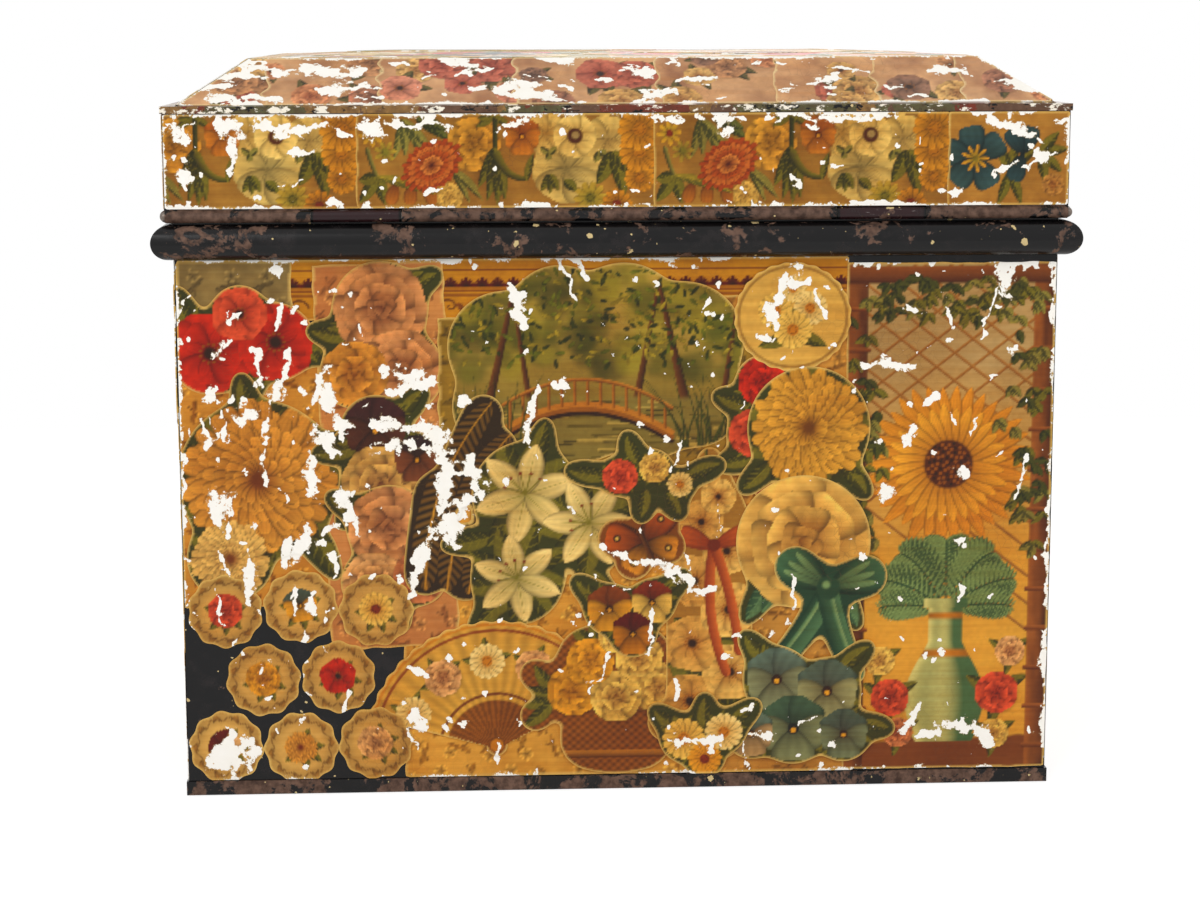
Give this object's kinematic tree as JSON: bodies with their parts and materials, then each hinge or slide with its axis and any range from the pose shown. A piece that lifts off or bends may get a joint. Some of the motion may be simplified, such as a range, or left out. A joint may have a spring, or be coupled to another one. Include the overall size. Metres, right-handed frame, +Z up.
{
  "type": "metal storage box",
  "caption": "Japanned tin box for papers and keepsakes, with a hipped lid on a full-length rear hinge rod, a roll moulding, varnished paper scraps, a box lock and bail handles.",
  "frame": {"origin": "on the surface it stands on, under the middle of the box", "axes": "+Z up, +X along the box's width, +Y towards the lock; the hinged back, which the picture shows, faces -Y"},
  "size_m": [0.4286, 0.3092, 0.3439],
  "materials": {
    "papered_tin": "varnished printed paper on tinplate, worn",
    "black_japan": "black japan, semi-gloss, rubbed and rusty",
    "iron": "darkened iron",
    "brass": "aged brass"
  },
  "bodies": {
    "box_body": {"back_wall": "papered_tin", "base_plate": "black_japan", "base_rim_back": "black_japan", "base_rim_front": "black_japan", "base_rim_left": "black_japan", "base_rim_right": "black_japan", "bolt_guide_pins": "iron", "escutcheon": "brass", "escutcheon_pin": "brass", "front_wall": "papered_tin", "hinge_leaf_left": "black_japan", "hinge_leaf_right": "black_japan", "hinge_rivets": "iron", "keyhole_cover_pin": "brass", "left_end_wall": "papered_tin", "left_handle_plate": "black_japan", "left_handle_rivets": "iron", "lock_case": "iron", "lock_cover": "iron", "lock_rivets": "iron", "right_end_wall": "papered_tin", "right_handle_plate": "black_japan", "right_handle_rivets": "iron", "roll_moulding_back": "black_japan", "roll_moulding_front": "black_japan", "roll_moulding_left": "black_japan", "roll_moulding_right": "black_japan"},
    "lid": {"lid_slope_back": "papered_tin", "lid_slope_front": "papered_tin", "lid_slope_left": "papered_tin", "lid_slope_right": "papered_tin", "lid_skirt_back": "papered_tin", "lid_skirt_front": "papered_tin", "lid_skirt_left": "papered_tin", "lid_skirt_right": "papered_tin", "lid_top_panel": "papered_tin", "lid_edge_wire": "iron", "hinge_rod": "iron", "lock_staple": "iron", "staple_rivets": "iron"},
    "lock_bolt": {"lock_bolt": "iron"},
    "keyhole_cover": {"keyhole_cover": "brass"},
    "left_handle": {"left_handle_bail": "black_japan"},
    "right_handle": {"right_handle_bail": "black_japan"}
  },
  "joints": [
    {"name": "lid_hinge", "type": "hinge", "parent": "box_body", "child": "lid", "pos_m": [0, -0.1482, 0.2717], "axis": [1, 0, 0], "range_deg": [0, 135]},
    {"name": "bolt_slide", "type": "slide", "parent": "box_body", "child": "lock_bolt", "axis": [-1, 0, 0], "range_m": [0, 0.006]},
    {"name": "keyhole_cover_swing", "type": "hinge", "parent": "box_body", "child": "keyhole_cover", "pos_m": [0, 0.1471, 0.242], "axis": [0, 1, 0], "range_deg": [-100, 100]},
    {"name": "left_handle_swing", "type": "hinge", "parent": "box_body", "child": "left_handle", "pos_m": [-0.2089, 0, 0.164], "axis": [0, 1, 0], "range_deg": [0, 170]},
    {"name": "right_handle_swing", "type": "hinge", "parent": "box_body", "child": "right_handle", "pos_m": [0.2089, 0, 0.164], "axis": [0, -1, 0], "range_deg": [0, 170]}
  ]
}
